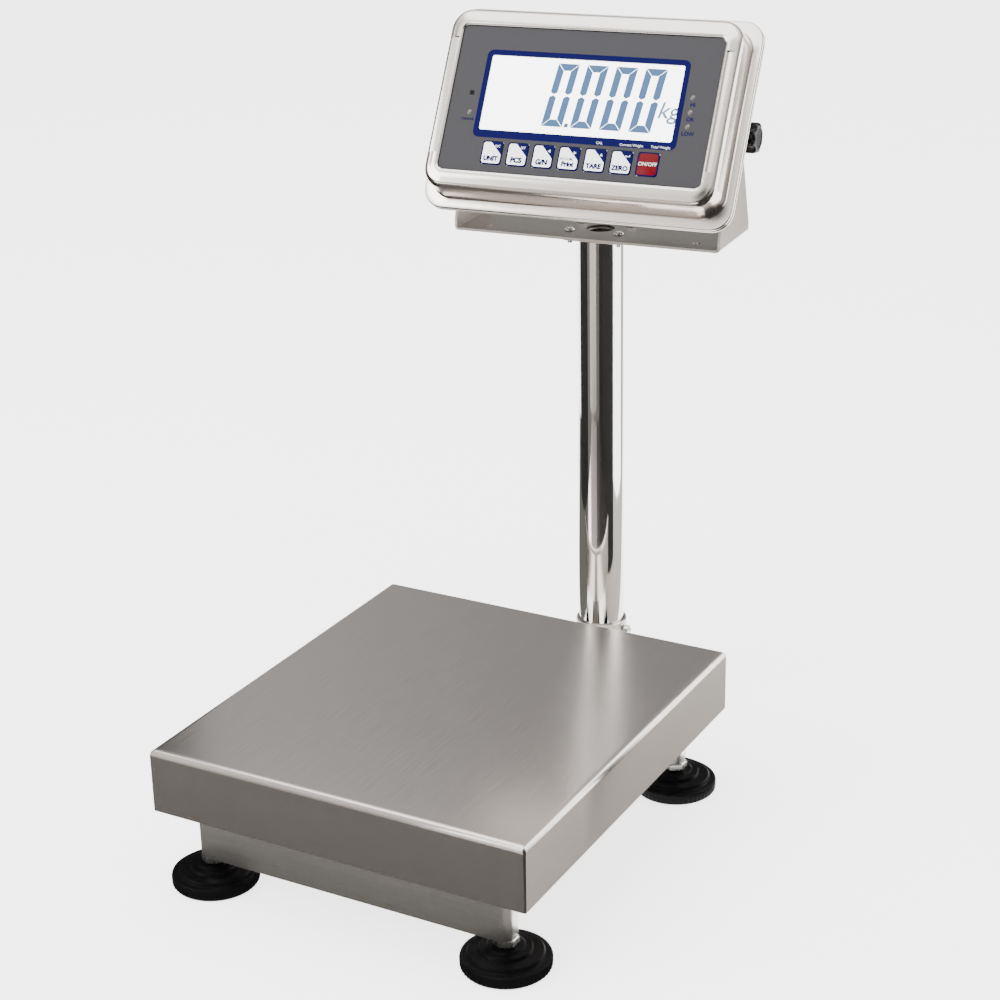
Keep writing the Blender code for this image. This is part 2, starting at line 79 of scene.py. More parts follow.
def finish(name, colour, rough, metal=0.0, grain=(60, 60, 60), strength=0.08, spread=0.06, bump=0.0,
           coat=0.0, gloss=0.5):
    """Colour and roughness follow a stretched noise; grain is how fast it changes along X, Y and Z."""
    made = bpy.data.materials.new(name)
    made.use_nodes = True
    tree = made.node_tree
    shader = tree.nodes["Principled BSDF"]
    shader.inputs["Metallic"].default_value = metal
    shader.inputs["Specular IOR Level"].default_value = gloss
    shader.inputs["Coat Weight"].default_value = coat
    shader.inputs["Coat Roughness"].default_value = 0.08
    place = tree.nodes.new("ShaderNodeTexCoord")
    scale = tree.nodes.new("ShaderNodeMapping")
    scale.inputs["Scale"].default_value = grain
    noise = tree.nodes.new("ShaderNodeTexNoise")
    noise.inputs["Scale"].default_value = 1.0
    noise.inputs["Detail"].default_value = 3.0
    tree.links.new(place.outputs["Object"], scale.inputs["Vector"])
    tree.links.new(scale.outputs["Vector"], noise.inputs["Vector"])
    tone = tree.nodes.new("ShaderNodeMix")
    tone.data_type = "RGBA"
    tone.inputs[6].default_value = tuple(min(1.0, c * (1 - strength)) for c in colour[:3]) + (1.0,)
    tone.inputs[7].default_value = tuple(min(1.0, c * (1 + strength)) for c in colour[:3]) + (1.0,)
    tree.links.new(noise.outputs["Fac"], tone.inputs[0])
    tree.links.new(tone.outputs[2], shader.inputs["Base Color"])
    dull = tree.nodes.new("ShaderNodeMapRange")
    dull.inputs["To Min"].default_value = max(0.02, rough - spread)
    dull.inputs["To Max"].default_value = rough + spread
    tree.links.new(noise.outputs["Fac"], dull.inputs["Value"])
    tree.links.new(dull.outputs["Result"], shader.inputs["Roughness"])
    if bump:
        relief = tree.nodes.new("ShaderNodeBump")
        relief.inputs["Strength"].default_value = bump
        relief.inputs["Distance"].default_value = 0.0002
        tree.links.new(noise.outputs["Fac"], relief.inputs["Height"])
        tree.links.new(relief.outputs["Normal"], shader.inputs["Normal"])
    return made


PAN = finish("pan_steel", (0.58, 0.54, 0.515, 1), 0.23, 1.0, (900, 25, 25), 0.05, 0.05, 0.12)
BRUSHED = finish("brushed_steel", (0.48, 0.445, 0.412, 1), 0.30, 1.0, (25, 900, 900), 0.06, 0.06, 0.12)
HOUSING = finish("housing_steel", (0.65, 0.605, 0.56, 1), 0.155, 1.0, (30, 700, 700), 0.04, 0.05, 0.08)
TUBE = finish("polished_steel", (0.80, 0.78, 0.76, 1), 0.06, 1.0, (700, 700, 20), 0.03, 0.02, 0.02)
ZINC = finish("zinc_steel", (0.62, 0.61, 0.58, 1), 0.28, 1.0, (300, 300, 300), 0.08, 0.06)
ALLOY = finish("alloy", (0.70, 0.71, 0.72, 1), 0.4, 1.0, (30, 600, 30), 0.05, 0.05, 0.1)
BLACK = finish("black_plastic", (0.003, 0.003, 0.0035, 1), 0.3, 0.0, (90, 90, 90), 0.25, 0.06, gloss=0.2)
FOOT = finish("foot_plastic", (0.003, 0.003, 0.0035, 1), 0.4, 0.0, (70, 70, 70), 0.25, 0.07, gloss=0.06)
RUBBER = finish("rubber", (0.012, 0.012, 0.013, 1), 0.7, 0.0, (200, 200, 200), 0.2, 0.1, 0.1)
FILM = finish("overlay_film", srgb(60, 59, 62), 0.45, 0.0, (400, 400, 400), 0.03, 0.04, 0.03, gloss=0.12)
NAVY = finish("navy_print", srgb(5, 5, 66), 0.4, 0.0, (300, 300, 300), 0.05, 0.04, gloss=0.05)
WHITE_PAINTED_GLOW = finish("white_print_painted_glow", srgb(250, 251, 252), 0.35, 0.0, (300, 300, 300), 0.015, 0.04, gloss=0.2)
PRINT = finish("white_lettering", srgb(235, 236, 238), 0.4, 0.0, (300, 300, 300), 0.02, 0.04, gloss=0.1)
RED = finish("red_print", srgb(98, 2, 14), 0.35, 0.0, (300, 300, 300), 0.05, 0.04, gloss=0.1)
LCD = finish("display_glass", srgb(253, 254, 255), 0.2, 0.0, (20, 20, 20), 0.01, 0.02, gloss=0.25)
SEGMENT = finish("display_segment", srgb(68, 98, 134), 0.3, 0.0, (200, 200, 200), 0.03, 0.03, gloss=0.1)
UNIT = finish("display_unit", srgb(104, 126, 150), 0.3, 0.0, (200, 200, 200), 0.03, 0.03, gloss=0.1)
LENS = finish("lamp_lens", srgb(84, 82, 80), 0.18, 0.0, (300, 300, 300), 0.1, 0.05, coat=0.4)
DARK = finish("dark_window", srgb(10, 9, 11), 0.4, 0.0, (300, 300, 300), 0.1, 0.05, gloss=0.1)
BOARD = finish("circuit_board", (0.02, 0.15, 0.05, 1), 0.45, 0.0, (150, 150, 150), 0.15, 0.05)
CELL = finish("battery_case", (0.05, 0.05, 0.055, 1), 0.5, 0.0, (150, 150, 150), 0.1, 0.05)
BEAM = finish("beam_steel", (0.86, 0.83, 0.79, 1), 0.30, 1.0, (25, 900, 900), 0.06, 0.06, 0.12)


def lit(look, strength):
    """A look that gives off a little of its own light: the backlit display, the even glow of the floor
    and a studio card, and a painted glow on the white keys.
    """
    shader = look.node_tree.nodes["Principled BSDF"]
    shader.inputs["Emission Color"].default_value = (1.0, 1.0, 1.0, 1)
    shader.inputs["Emission Strength"].default_value = strength


lit(LCD, 4.0)
# painted glow: the white key faces give off light of their own, so they look brighter than the lamps
# alone make them
lit(WHITE_PAINTED_GLOW, 0.7)


# ---------- mesh helpers ----------
def piece(name, bm, look, where, body, hides=(), at=(0, 0, 0), bevel=0.0, angle=32):
    bmesh.ops.recalc_face_normals(bm, faces=bm.faces)
    mesh = bpy.data.meshes.new(name)
    bm.to_mesh(mesh)
    bm.free()
    mesh.transform(Matrix.Scale(MM, 4))
    for f in mesh.polygons:
        f.use_smooth = True
    mesh.set_sharp_from_angle(angle=math.radians(angle))
    thing = bpy.data.objects.new(name, mesh)
    bpy.context.scene.collection.objects.link(thing)
    mesh.materials.append(look)
    thing.matrix_world = where @ Matrix.Translation(Vector(at) * MM)
    if body:
        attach(thing, body)
        for node in hides:
            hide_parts(node)
    if bevel:
        edge = thing.modifiers.new("edge", "BEVEL")
        edge.width = bevel * MM
        edge.segments = 2
        edge.limit_method = "ANGLE"
        edge.angle_limit = math.radians(35)
        edge.harden_normals = True
    return thing


def cut(target, bm, where, at=(0, 0, 0)):
    """Takes a shape out of a piece, before any bevel. The cutter is thrown away once it has been used."""
    tool = piece(target.name + "_tool", bm, BLACK, where, None, at=at)
    change = target.modifiers.new("cut", "BOOLEAN")
    change.object = tool
    change.operation = "DIFFERENCE"
    change.solver = "EXACT"
    held = [m for m in target.modifiers if m != change]
    for m in held:
        m.show_viewport = False
    bpy.context.view_layer.update()
    new = bpy.data.meshes.new_from_object(target.evaluated_get(bpy.context.evaluated_depsgraph_get()))
    for m in held:
        m.show_viewport = True
    old = target.data
    target.modifiers.remove(change)
    target.data = new
    bpy.data.meshes.remove(old)
    bpy.data.objects.remove(tool, do_unlink=True)
    for f in new.polygons:
        f.use_smooth = True
    new.set_sharp_from_angle(angle=math.radians(32))


def loft(loops, ring=False):
    bm = bmesh.new()
    rows = [[bm.verts.new(p) for p in loop] for loop in loops]
    count = len(rows[0])
    for a, b in list(zip(rows, rows[1:])) + ([(rows[-1], rows[0])] if ring else []):
        for i in range(count):
            bm.faces.new((a[i], a[(i + 1) % count], b[(i + 1) % count], b[i]))
    if not ring:
        bm.faces.new(rows[0])
        bm.faces.new(rows[-1])
    return bm


def rounded(w, h, r, steps=8, mid=(0.0, 0.0)):
    out = []
    for cx, cy, start in ((1, 1, 0), (-1, 1, 90), (-1, -1, 180), (1, -1, 270)):
        for i in range(steps + 1):
            a = math.radians(start + 90.0 * i / steps)
            out.append((mid[0] + cx * (w / 2 - r) + r * math.cos(a),
                        mid[1] + cy * (h / 2 - r) + r * math.sin(a)))
    return out


def circle(r, count=48, mid=(0.0, 0.0)):
    return [(mid[0] + r * math.cos(2 * math.pi * i / count),
             mid[1] + r * math.sin(2 * math.pi * i / count))
            for i in range(count)]


def up(outline, z):
    return [(x, y, z) for x, y in outline]


def side(outline, x):
    return [(x, y, z) for y, z in outline]


def face(outline, y):
    return [(x, y, z) for x, z in outline]


def lathe(profile, count=64, ring=False, mid=(0.0, 0.0)):
    return loft([up(circle(r, count, mid), z) for r, z in profile], ring)


def level(n):
    """The Y of a height above the display face."""
    return -FACE - n


def slab(outline, n_low, n_high, ring=None):
    """A thin printed or pressed shape on the display face, between two heights."""
    if ring:
        return loft([face(outline, level(n_low)), face(outline, level(n_high)),
                     face(ring, level(n_high)), face(ring, level(n_low))], True)
    return loft([face(outline, level(n_low)), face(outline, level(n_high))])


def merged(*parts):
    """Several meshes as one."""
    out = bmesh.new()
    for part in parts:
        bmesh.ops.recalc_face_normals(part, faces=part.faces)
        temp = bpy.data.meshes.new("temp")
        part.to_mesh(temp)
        part.free()
        out.from_mesh(temp)
        bpy.data.meshes.remove(temp)
    return out


def word(name, text, look, where, body, u, v, size, n=0.05, slant=0.0, bold=0.022):
    """Raised lettering on the display face, centred on u, v."""
    curve = bpy.data.curves.new(name, "FONT")
    curve.body = text
    curve.size = size * MM
    curve.extrude = 0.00003
    curve.offset = bold * size * MM
    curve.align_x = "CENTER"
    curve.align_y = "CENTER"
    curve.shear = slant
    curve.resolution_u = 3
    thing = bpy.data.objects.new(name, curve)
    bpy.context.scene.collection.objects.link(thing)
    curve.materials.append(look)
    thing.matrix_world = (where @ Matrix.Translation(Vector((u, level(n), v)) * MM)
                          @ Matrix.Rotation(math.radians(90), 4, "X"))
    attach(thing, body)
    return thing


# ---------- every CAD node takes the finish of its slot ----------
looks = {"brushed_steel": BRUSHED, "polished_steel": TUBE, "zinc_steel": ZINC, "aluminium": ALLOY,
         "black_plastic": BLACK, "rubber": RUBBER, "housing_steel": HOUSING, "overlay_film": FILM,
         "key_white": WHITE_PAINTED_GLOW, "key_red": RED, "display_glass": LCD, "circuit_board": BOARD,
         "battery_case": CELL}
for entry in cad["record"]["subparts"]:
    node = cad["nodes"][entry["node"]]
    node.data.materials.clear()
    node.data.materials.append(looks[entry["material_slot"]])

# ---------- pan ----------
inner_w, inner_d = PAN_W - 2 * PAN_SHEET, PAN_D - 2 * PAN_SHEET
rows = [up(rounded(inner_w - 8, inner_d - 8, 1.5), PAN_TOP - PAN_SHEET),
        up(rounded(inner_w, inner_d, 2.0), PAN_TOP - PAN_SHEET - PAN_EDGE),
        up(rounded(inner_w, inner_d, 2.0), PAN_TOP - PAN_SKIRT),
        up(rounded(PAN_W - 0.4, PAN_D - 0.4, 1.8), PAN_TOP - PAN_SKIRT),
        up(rounded(PAN_W, PAN_D, 2.0), PAN_TOP - PAN_SKIRT + 0.3)]
for i in range(9):
    a = math.radians(90.0 * i / 8)
    inset = 2 * PAN_EDGE * (1 - math.cos(a))
    outline = rounded(PAN_W - inset, PAN_D - inset, 2.2 - 0.12 * inset)
    rows.append(up(outline, PAN_TOP - PAN_EDGE * (1 - math.sin(a))))
piece("pan", loft(rows), PAN, BASE, "pan", ["weighing_pan"])

# ---------- beams ----------
for name, sign in (("front_beam", -1), ("rear_beam", 1)):
    mid = (0, sign * FOOT_Y)
    w, d = 2 * BEAM_HALF, BEAM_DEEP
    inner = rounded(w - 2 * BEAM_WALL, d - 2 * BEAM_WALL, 6.0, 8, mid)
    outer = rounded(w, d, 8, 8, mid)
    rows = [up(inner, BEAM_LOW + BEAM_WALL), up(inner, BEAM_HIGH), up(outer, BEAM_HIGH),
            up(outer, BEAM_LOW + 1.2), up(rounded(w - 0.7, d - 0.7, 7.65, 8, mid), BEAM_LOW + 0.35),
            up(rounded(w - 2.4, d - 2.4, 6.8, 8, mid), BEAM_LOW)]
    beam = piece(name + "_look", loft(rows), BEAM, BASE, "base", [name])
    cut(beam, merged(*[lathe([(STUD_HOLE_R, BEAM_LOW - 3), (STUD_HOLE_R, BEAM_LOW + 6)], 32,
                             mid=(x, mid[1]))
                       for x in (-FOOT_X, FOOT_X)]), BASE)

# ---------- levelling feet ----------
def ribbed(r, depth=0.7):
    """A circle whose points step in and out, for the ribs round a foot."""
    radii = [r - (depth if i % 2 else 0) for i in range(RIBS)]
    return [(radius * x, radius * y) for radius, (x, y) in zip(radii, circle(1.0, RIBS))]


def hexagon(across_flats, count=36):
    out = []
    for x, y in circle(1.0, count):
        a = math.atan2(y, x)
        r = across_flats / 2 / max(math.cos(a - k * math.pi / 3) for k in range(6))
        out.append((x * r, y * r))
    return out


for i, (sx, sy) in enumerate(((-1, -1), (1, -1), (1, 1), (-1, 1))):
    spot = (sx * FOOT_X, sy * FOOT_Y, 0)
    rows = [up(circle(30.0, RIBS), 0.0), up(circle(31.6, RIBS), 0.4), up(ribbed(32.8), 1.4),
            up(ribbed(33.0), 7.4)]
    rows += [up(circle(r, RIBS), z) for r, z in (
        (32.4, 8.6), (31.4, 9.3), (29.6, 9.7), (28.4, 9.8), (27.6, 10.4), (27.3, 11.6), (26.6, 12.6),
        (25.2, 13.0), (21.0, 13.1), (19.6, 13.5), (19.0, 14.6), (18.4, 15.6), (17.0, 16.0),
        (14.6, 16.0), (13.8, 16.4), (13.2, 17.1), (12.2, 17.5), (5.4, 17.5), (5.4, 8.0))]
    piece(f"foot_{i + 1}_pad_look", loft(rows), FOOT, BASE, f"foot_{i + 1}",
          [f"foot_pad_{i + 1}"], spot)
    thread = [(4.3, 8.2)]
    z = 9.0
    while z < 50.5:
        thread += [(5.0, z), (4.45, z + 0.75)]
        z += 1.5
    piece(f"foot_{i + 1}_stud_look", lathe(thread + [(4.2, 51.8)], 24), ZINC, BASE, f"foot_{i + 1}",
          [f"foot_stud_{i + 1}"], spot)
    nut = [up(circle(STUD_HOLE_R, 36), 17.9), up(circle(8.0, 36), 17.8), up(hexagon(NUT_FLATS), 18.6),
           up(hexagon(NUT_FLATS), 22.9), up(circle(8.0, 36), 23.7), up(circle(STUD_HOLE_R, 36), 23.6)]
    piece(f"foot_{i + 1}_nut_look", loft(nut, True), ZINC, BASE, "base",
          [f"foot_nut_{i + 1}"], spot, angle=20)

# ---------- socket, clamp screw, column ----------
socket = piece("socket_look", lathe([(19.3, 32.7), (19.3, SOCKET_TOP - 0.3), (19.6, SOCKET_TOP),
                                     (SOCKET_R - 0.5, SOCKET_TOP), (SOCKET_R, SOCKET_TOP - 0.5),
                                     (SOCKET_R, 36.0), (SOCKET_R + 0.8, 34.2), (SOCKET_R + 2.6, 32.6),
                                     (SOCKET_R + 4, 31.0), (SOCKET_R + 4, 29.3)], 72),
               BRUSHED, BASE, "base", ["column_socket"], (0, COLUMN_Y, 0))
cut(socket, loft([side(circle(2.8, 24, (0, CLAMP_Z)), 10), side(circle(2.8, 24, (0, CLAMP_Z)), 30)]),
    BASE, (0, COLUMN_Y, 0))
piece("clamp_screw_look", loft([side(circle(r, 32), x) for x, r in (
    (19.4, 2.0), (20.0, 2.5), (22.2, 2.5), (22.2, 3.5), (22.5, 3.7), (26.4, 3.7), (27.0, 3.3),
    (27.2, 2.6), (27.2, 1.6), (25.0, 1.5))]),
      TUBE, BASE, "clamp", ["clamp_screw"], (0, COLUMN_Y, CLAMP_Z))
piece("column_look", lathe([(17.5, COLUMN_LOW), (17.5, COLUMN_HIGH), (18.8, COLUMN_HIGH),
                            (COLUMN_R, COLUMN_HIGH - 0.3), (COLUMN_R, COLUMN_LOW)], 96, True),
      TUBE, COLUMN, "column", ["column_tube"])

# ---------- flange, yoke and its screws ----------
def hole(r, low, high, count, mid=(0.0, 0.0)):
    """A cutter for an upright hole."""
    return lathe([(r, low), (r, high)], count, mid=mid)


z0, z1 = COLUMN_HIGH + GAP, YOKE_LOW - GAP
plate = rounded(FLANGE_X, FLANGE_Y, 5)
flange = piece("flange_look", loft([up(plate, z0), up(plate, z1)]), BRUSHED, COLUMN, "column",
               ["column_flange"], bevel=0.5)
cut(flange, merged(hole(CABLE_R, z0 - 2, z1 + 2, 48),
                   *[hole(SCREW_HOLE_R, z0 - 2, z1 + 2, 20, p) for p in SCREWS]),
    COLUMN)
h, y0 = YOKE_HALF, YOKE_LOW
out_r, in_r = 3.4, 1.4
outer = [(h, PIVOT_Z + EAR_TOP)]
for sgn, order in ((1, range(7)), (-1, range(6, -1, -1))):
    for i in order:
        a = math.radians(90 * i / 6)
        outer.append((sgn * (h - out_r + out_r * math.cos(a)), y0 + out_r - out_r * math.sin(a)))
outer.append((-h, PIVOT_Z + EAR_TOP))
inner = [(-h + SHEET, PIVOT_Z + EAR_TOP)]
for sgn, order in ((-1, range(5)), (1, range(4, -1, -1))):
    for i in order:
        a = math.radians(90 * i / 4)
        inner.append((sgn * (h - SHEET - in_r + in_r * math.cos(a)),
                      y0 + SHEET + in_r - in_r * math.sin(a)))
inner.append((h - SHEET, PIVOT_Z + EAR_TOP))
fold = outer + inner
yoke = piece("yoke_look", loft([face(fold, -YOKE_DEEP), face(fold, YOKE_DEEP)]), BRUSHED, COLUMN,
             "column", ["yoke"], bevel=0.35)
for sign in (-1, 1):
    edge = [(sign * YOKE_DEEP, y0 + 8), (sign * (EAR_R - 0.4), PIVOT_Z + 1)]
    edge += [(sign * EAR_R * math.cos(math.radians(a)), PIVOT_Z + EAR_R * math.sin(math.radians(a)))
             for a in range(10, 91, 5)]
    edge += [(0, PIVOT_Z + 20), (sign * 60, PIVOT_Z + 20), (sign * 60, y0 + 8)]
    cut(yoke, loft([side(edge, -h - 5), side(edge, h + 5)]), COLUMN)
pivot_hole = circle(KNOB_HOLE_R, 24, (0, PIVOT_Z))
cut(yoke, merged(hole(CABLE_R + 0.5, y0 - 3, y0 + 5, 48),
                 *[hole(SCREW_HOLE_R, y0 - 3, y0 + 5, 20, p) for p in SCREWS],
                 *[hole(SPARE_HOLE_R, y0 - 3, y0 + 5, 24, (x, y)) for x in (-88, 88) for y in (-20, 20)],
                 *[loft([side(pivot_hole, x), side(pivot_hole, x + 12)]) for x in (-h - 5, h - 7)]),
    COLUMN)
for i, (x, y) in enumerate(SCREWS):
    z = y0 + SHEET + GAP
    screw = piece(f"yoke_screw_{i + 1}_look", lathe(
        [(1.6, z0 - 3.0), (2.0, z0 - 2.6), (2.0, z), (4.1, z), (4.25, z + 0.3), (4.1, z + 1.2),
         (3.4, z + 2.1), (2.4, z + 2.6),
         (1.2, z + 2.8)], 36), ZINC, COLUMN, "column", [f"yoke_screw_{i + 1}"], (x, y, 0))
    for w, d in ((4.0, 0.8), (0.8, 4.0)):
        bar = rounded(w, d, 0.2, 2)
        cut(screw, loft([up(bar, z + 1.2), up(bar, z + 4)]), COLUMN, (x, y, 0))

# ---------- indicator housing ----------
key_spots = [(KEY_FIRST + KEY_PITCH * i, KEY_ROW) for i in range(7)]
# each row of a shell is its width, height, corner radius and height above the display face
shell = [(229, 135, 12, -3.8), (235, 141, 13, -25.7), (235, 141, 13, -28.4),
         (FLANGE_W - 0.6, FLANGE_H - 0.6, 16.7, -28.4), (FLANGE_W, FLANGE_H, 17, -28.0),
         (FLANGE_W, FLANGE_H, 17, -27.0), (FLANGE_W - 0.5, FLANGE_H - 0.5, 16.8, -26.4),
         (FLANGE_W - 1.6, FLANGE_H - 1.6, 16.3, -26.0), (247.5, 153.5, 18.2, -26.0),
         (245.2, 151.2, 18.2, -25.6), (243.8, 149.8, 17.8, -24.6), (243.2, 149.2, 17.6, -23.2)]
for i in range(11):
    a = math.radians(90.0 * i / 10)
    inset = 2 * 5.2 * (1 - math.cos(a))
    shell.append((241.4 - inset, 147.4 - inset, 17.2 - 0.45 * inset, -4.6 + 5.2 * math.sin(a)))
shell += [(228, 133.5, 11.4, 1.1), (221.5, 123.8, 7.4, 1.5), (219.0, 121.0, 6.2, 1.4),
          (217.2, 119.2, 5.0, 0.9), (OVER_W + 0.6, OVER_H + 0.6, 4.4, 0.3),
          (OVER_W + 0.6, OVER_H + 0.6, 4.4, -1.6)]
front = piece("front_shell_look", loft([face(rounded(w, d, r, 10), level(n)) for w, d, r, n in shell]),
              HOUSING, HEAD, "indicator", ["front_shell"])
for sign in (-1, 1):  # a sloping relief pressed into each side of the ring
    inside, outside = sign * 110.6, sign * 124.0
    path = [(inside, -45.5), (inside, 48.5), (outside, 49.5), (outside, -46.5)]
    low = [(x, level(-0.5 if x == inside else 1.0), z) for x, z in path]
    cut(front, loft([low, face([(x, z * 1.03) for x, z in path], level(4))]), HEAD)
cut(front, merged(slab(rounded(LCD_W + 2, LCD_H + 2, 3, 4, (0, LCD_UP)), -9, 3),
                  *[slab(rounded(11.6, 11.6, 1, 2, p), -9, 3) for p in key_spots]), HEAD)
piece("gasket_look", loft([face(rounded(w, d, r, 10), level(n)) for w, d, r, n in (
    (FLANGE_W - 1.4, FLANGE_H - 1.4, 16.3, -28.7), (FLANGE_W - 0.8, FLANGE_H - 0.8, 16.6, -29.4),
    (FLANGE_W - 1.4, FLANGE_H - 1.4, 16.3, -30.2), (REAR_W + 4, REAR_H + 4, 9, -30.2),
    (REAR_W + 4, REAR_H + 4, 9, -28.7))],
    True), RUBBER, HEAD, "indicator", ["housing_gasket"])
shell = [(REAR_W - 8, REAR_H - 8, 6, -71.2), (REAR_W - 5, REAR_H - 5, 7, -33.0),
         (REAR_W - 5, REAR_H - 5, 7, -30.5), (FLANGE_W - 1.4, FLANGE_H - 1.4, 16.5, -30.5),
         (FLANGE_W - 0.4, FLANGE_H - 0.4, 16.8, -30.7), (FLANGE_W, FLANGE_H, 17, -31.2),
         (FLANGE_W, FLANGE_H, 17, -32.2), (FLANGE_W - 0.8, FLANGE_H - 0.8, 16.6, -32.9),
         (REAR_W + 4, REAR_H + 4, 10.5, -32.9), (REAR_W + 1.4, REAR_H + 1.4, 9.8, -33.5),
         (REAR_W, REAR_H, 9.2, -35.4)]
for i in range(9):
    a = math.radians(90.0 * i / 8)
    inset = 2 * 4.4 * (1 - math.cos(a))
    shell.append((REAR_W - 1.0 - inset, REAR_H - 1.5 - inset, 9 - 0.4 * inset,
                  -69.4 - 4.4 * math.sin(a)))
rear = piece("rear_shell_look", loft([face(rounded(w, d, r, 10), level(n)) for w, d, r, n in shell]),
             HOUSING, HEAD, "indicator", ["rear_shell"])
cut(rear, merged(*[loft([side(circle(KNOB_HOLE_R, 24), x), side(circle(KNOB_HOLE_R, 24), x + 14)])
                   for x in (-118, 104)],
                 slab(circle(6.8, 32, GLAND_SPOT), -82, -60),
                 slab(circle(5.6, 32, CHARGER_SPOT), -82, -60)), HEAD)
for i, (x, z) in enumerate([(x, z) for z in (76.5, -76.5) for x in (-60, 60)]):
    piece(f"housing_screw_{i + 1}", loft([face(circle(r, 28), level(n)) for r, n in (
        (2.6, -33.0), (3.0, -33.2), (3.0, -34.2), (2.6, -34.8), (1.6, -35.1))]), ZINC, HEAD, "indicator",
          (),
        (x, 0, z))

# ---------- overlay, display and printed graphics ----------
overlay = piece("overlay_look", slab(rounded(OVER_W, OVER_H, 4.2, 8), -1.3, 0.0), FILM, HEAD,
                "indicator", ["overlay"])
cut(overlay, merged(slab(rounded(LCD_W, LCD_H, 2, 6, (0, LCD_UP)), -5, 3),
                    *[slab(rounded(KEY_W + 0.6, KEY_H + 0.6, 2.3, 5, p), -5, 3) for p in key_spots]),
    HEAD)
frame_out = rounded(LCD_W + 8.6, LCD_H + 10.4, 5.2, 8, (0, LCD_UP - 1.0))
piece("display_border", slab(frame_out, 0.02, 0.10,
                             rounded(LCD_W + 0.2, LCD_H + 0.2, 2.0, 8, (0, LCD_UP))), NAVY, HEAD,
      "indicator")
piece("display_look", loft([face(rounded(w, d, 1.6, 4, (0, LCD_UP)), level(n)) for w, d, n in (
    (LCD_W - 0.6, LCD_H - 0.6, -0.4), (LCD_W - 0.6, LCD_H - 0.6, -4.4), (168, 68, -4.4),
    (168, 68, -12.0))]), LCD, HEAD,
      "indicator", ["lcd_module"])

DIGIT_W, DIGIT_H, DIGIT_PITCH, DIGIT_LEFT, DIGIT_LOW = 17.4, 51.0, 24.0, -28.3, -18.9
BAR, CUT, SLANT = 5.7, 0.3, 0.105


def segment(points, left):
    """One bar of a digit, leaning with it."""
    return slab([(left + x + SLANT * y, DIGIT_LOW + y) for x, y in points], -0.38, -0.28)


def zero_digit(left):
    w, hh, b, g = DIGIT_W, DIGIT_H, BAR, CUT
    m = hh / 2
    return [segment([(g, hh), (w - g, hh), (w - b - g, hh - b), (b + g, hh - b)], left),
            segment([(g, 0), (b + g, b), (w - b - g, b), (w - g, 0)], left),
            segment([(0, g), (0, m - 1.9), (b / 2, m - 0.4), (b, m - 2.2), (b, b + g)], left),
            segment([(0, hh - g), (b, hh - b - g), (b, m + 1.9), (b / 2, m + 0.4), (0, m + 2.2)], left),
            segment([(w, g), (w - b, b + g), (w - b, m - 2.2), (w - b / 2, m - 0.4), (w, m - 1.9)],
                    left),
            segment([(w, hh - g), (w, m + 2.2), (w - b / 2, m + 0.4), (w - b, m + 2.2),
                     (w - b, hh - b - g)], left)]


bars = []
for i in range(4):
    bars += zero_digit(DIGIT_LEFT + DIGIT_PITCH * i)
x = DIGIT_LEFT + DIGIT_W + 1.5
bars.append(segment([(0, 0), (3.2, 0), (3.2, 3.2), (0, 3.2)], x))
piece("display_digits", merged(*bars), SEGMENT, HEAD, "indicator")
word("display_unit", "kg", UNIT, HEAD, "indicator", 72.4, -0.8, 18.5, -0.33, 0.22,
     0.008)
for text, u, size in (("CAL", 22.5, 2.9), ("Current Weight", 48.6, 2.9), ("Total Weight", 72.0, 2.9)):
    word("mode_" + text.lower().replace(" ", "_"), text, PRINT, HEAD, "indicator", u,
         -29.4, size, 0.13, bold=0.0)
for name, text, u, v in (("hi", "HI", 90.2, 11.0), ("ok", "OK", 90.2, -0.6),
                         ("low", "LOW", 90.2, -12.0), ("charge", "CHARGE", -90.2, -11.8)):
    piece(f"lamp_{name}", loft([face(circle(r, 28), level(n)) for r, n in (
        (2.1, -0.6), (2.1, 0.15), (1.8, 0.35), (1.7, 0.2), (1.4, 0.25), (1.0, 0.55), (0.4, 0.7))]),
          LENS, HEAD, "indicator", (), (u, 0, v))
    word("label_" + name, text, NAVY, HEAD, "indicator",
         u + 1.0 if name != "charge" else -90.8, v - 5.6, 4.3 if name != "charge" else 2.7, 0.05)
piece("sensor_window", slab(rounded(3.6, 3.6, 0.3, 2, (-91.2, 4.2)), 0.02, 0.10), DARK, HEAD,
      "indicator")

